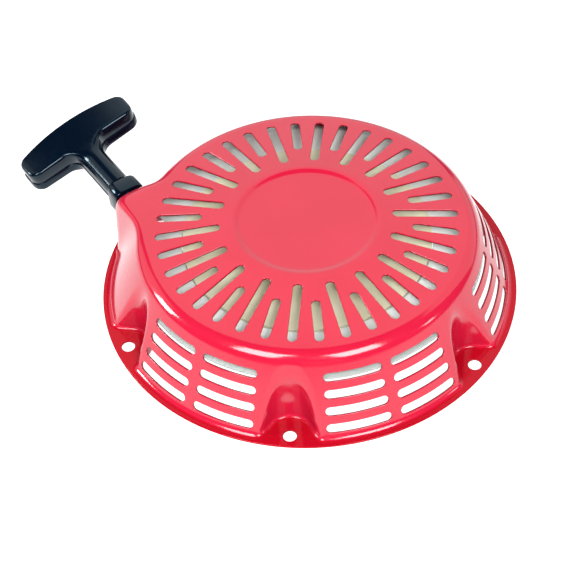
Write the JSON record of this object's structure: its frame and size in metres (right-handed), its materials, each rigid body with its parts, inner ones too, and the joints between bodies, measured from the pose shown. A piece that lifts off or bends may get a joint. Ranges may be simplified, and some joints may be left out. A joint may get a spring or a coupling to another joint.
{
  "type": "recoil starter",
  "caption": "Pull starter for a small engine: slotted round pressed-steel cover with a bolt flange, holding a spring-loaded rope reel, ratchets and a T-shaped pull grip.",
  "frame": {"origin": "centre of the mounting flange's lower face, on the crank axis", "axes": "+Z along the crank axis away from the engine, +X the direction in which the rope is pulled"},
  "size_m": [0.2591, 0.216, 0.0477],
  "materials": {
    "case_paint": "gloss",
    "guide_plastic": "pale plastic, satin",
    "zinc_plate": "zinc plated",
    "machined_steel": "machined",
    "spring_steel": "blued spring steel",
    "nylon": "natural nylon, satin",
    "ratchet_steel": "pressed steel",
    "spring_wire": "bright wire",
    "guide_plate": "zinc plated",
    "screw_plate": "yellow zinc plated",
    "rope": "braided nylon",
    "grip_plastic": "gloss"
  },
  "bodies": {
    "case": {"starter_case": "case_paint", "air_guide": "guide_plastic", "spindle_bracket": "zinc_plate", "spindle_post": "machined_steel", "mainspring": "spring_steel", "friction_spring": "spring_wire", "thrust_washer": "zinc_plate", "setting_screw": "screw_plate", "rope_guide": "grip_plastic", "rope_lead": "rope"},
    "handle": {"grip": "grip_plastic", "grip_insert": "zinc_plate", "rope_handle_knot": "rope"},
    "reel": {"reel": "nylon", "rope_coil": "rope", "rope_reel_knot": "rope"},
    "guide": {"ratchet_guide": "guide_plate"},
    "ratchet_a": {"ratchet_a": "ratchet_steel", "ratchet_spring_a": "spring_wire"},
    "ratchet_b": {"ratchet_b": "ratchet_steel", "ratchet_spring_b": "spring_wire"}
  },
  "joints": [
    {"name": "grip_pull", "type": "slide", "parent": "case", "child": "handle", "axis": [1, 0, 0], "range_m": [0, 1.1], "stiffness_N_per_m": 10, "springref_m": -0.8, "deforming": ["rope_lead"]},
    {"name": "reel_turn", "type": "hinge", "parent": "case", "child": "reel", "pos_m": [0, 0, 0.028], "axis": [0, 0, 1], "range_deg": [-1375, 0], "deforming": ["mainspring"]},
    {"name": "guide_lag", "type": "hinge", "parent": "reel", "child": "guide", "pos_m": [0, 0, 0.0125], "axis": [0, 0, 1], "range_deg": [0, 30]},
    {"name": "ratchet_a_swing", "type": "hinge", "parent": "reel", "child": "ratchet_a", "pos_m": [0.024, 0, 0.0167], "axis": [0, 0, 1], "range_deg": [0, 28.01], "deforming": ["ratchet_spring_a"]},
    {"name": "ratchet_b_swing", "type": "hinge", "parent": "reel", "child": "ratchet_b", "pos_m": [-0.024, 0, 0.0167], "axis": [0, 0, 1], "range_deg": [0, 28.01], "deforming": ["ratchet_spring_b"]}
  ],
  "couplings": [
    {"joint": "reel_turn", "follows": "grip_pull", "rad_per_m": -21.739},
    {"joint": "ratchet_a_swing", "follows": "guide_lag", "ratio": 0.93333},
    {"joint": "ratchet_b_swing", "follows": "guide_lag", "ratio": 0.93333}
  ]
}
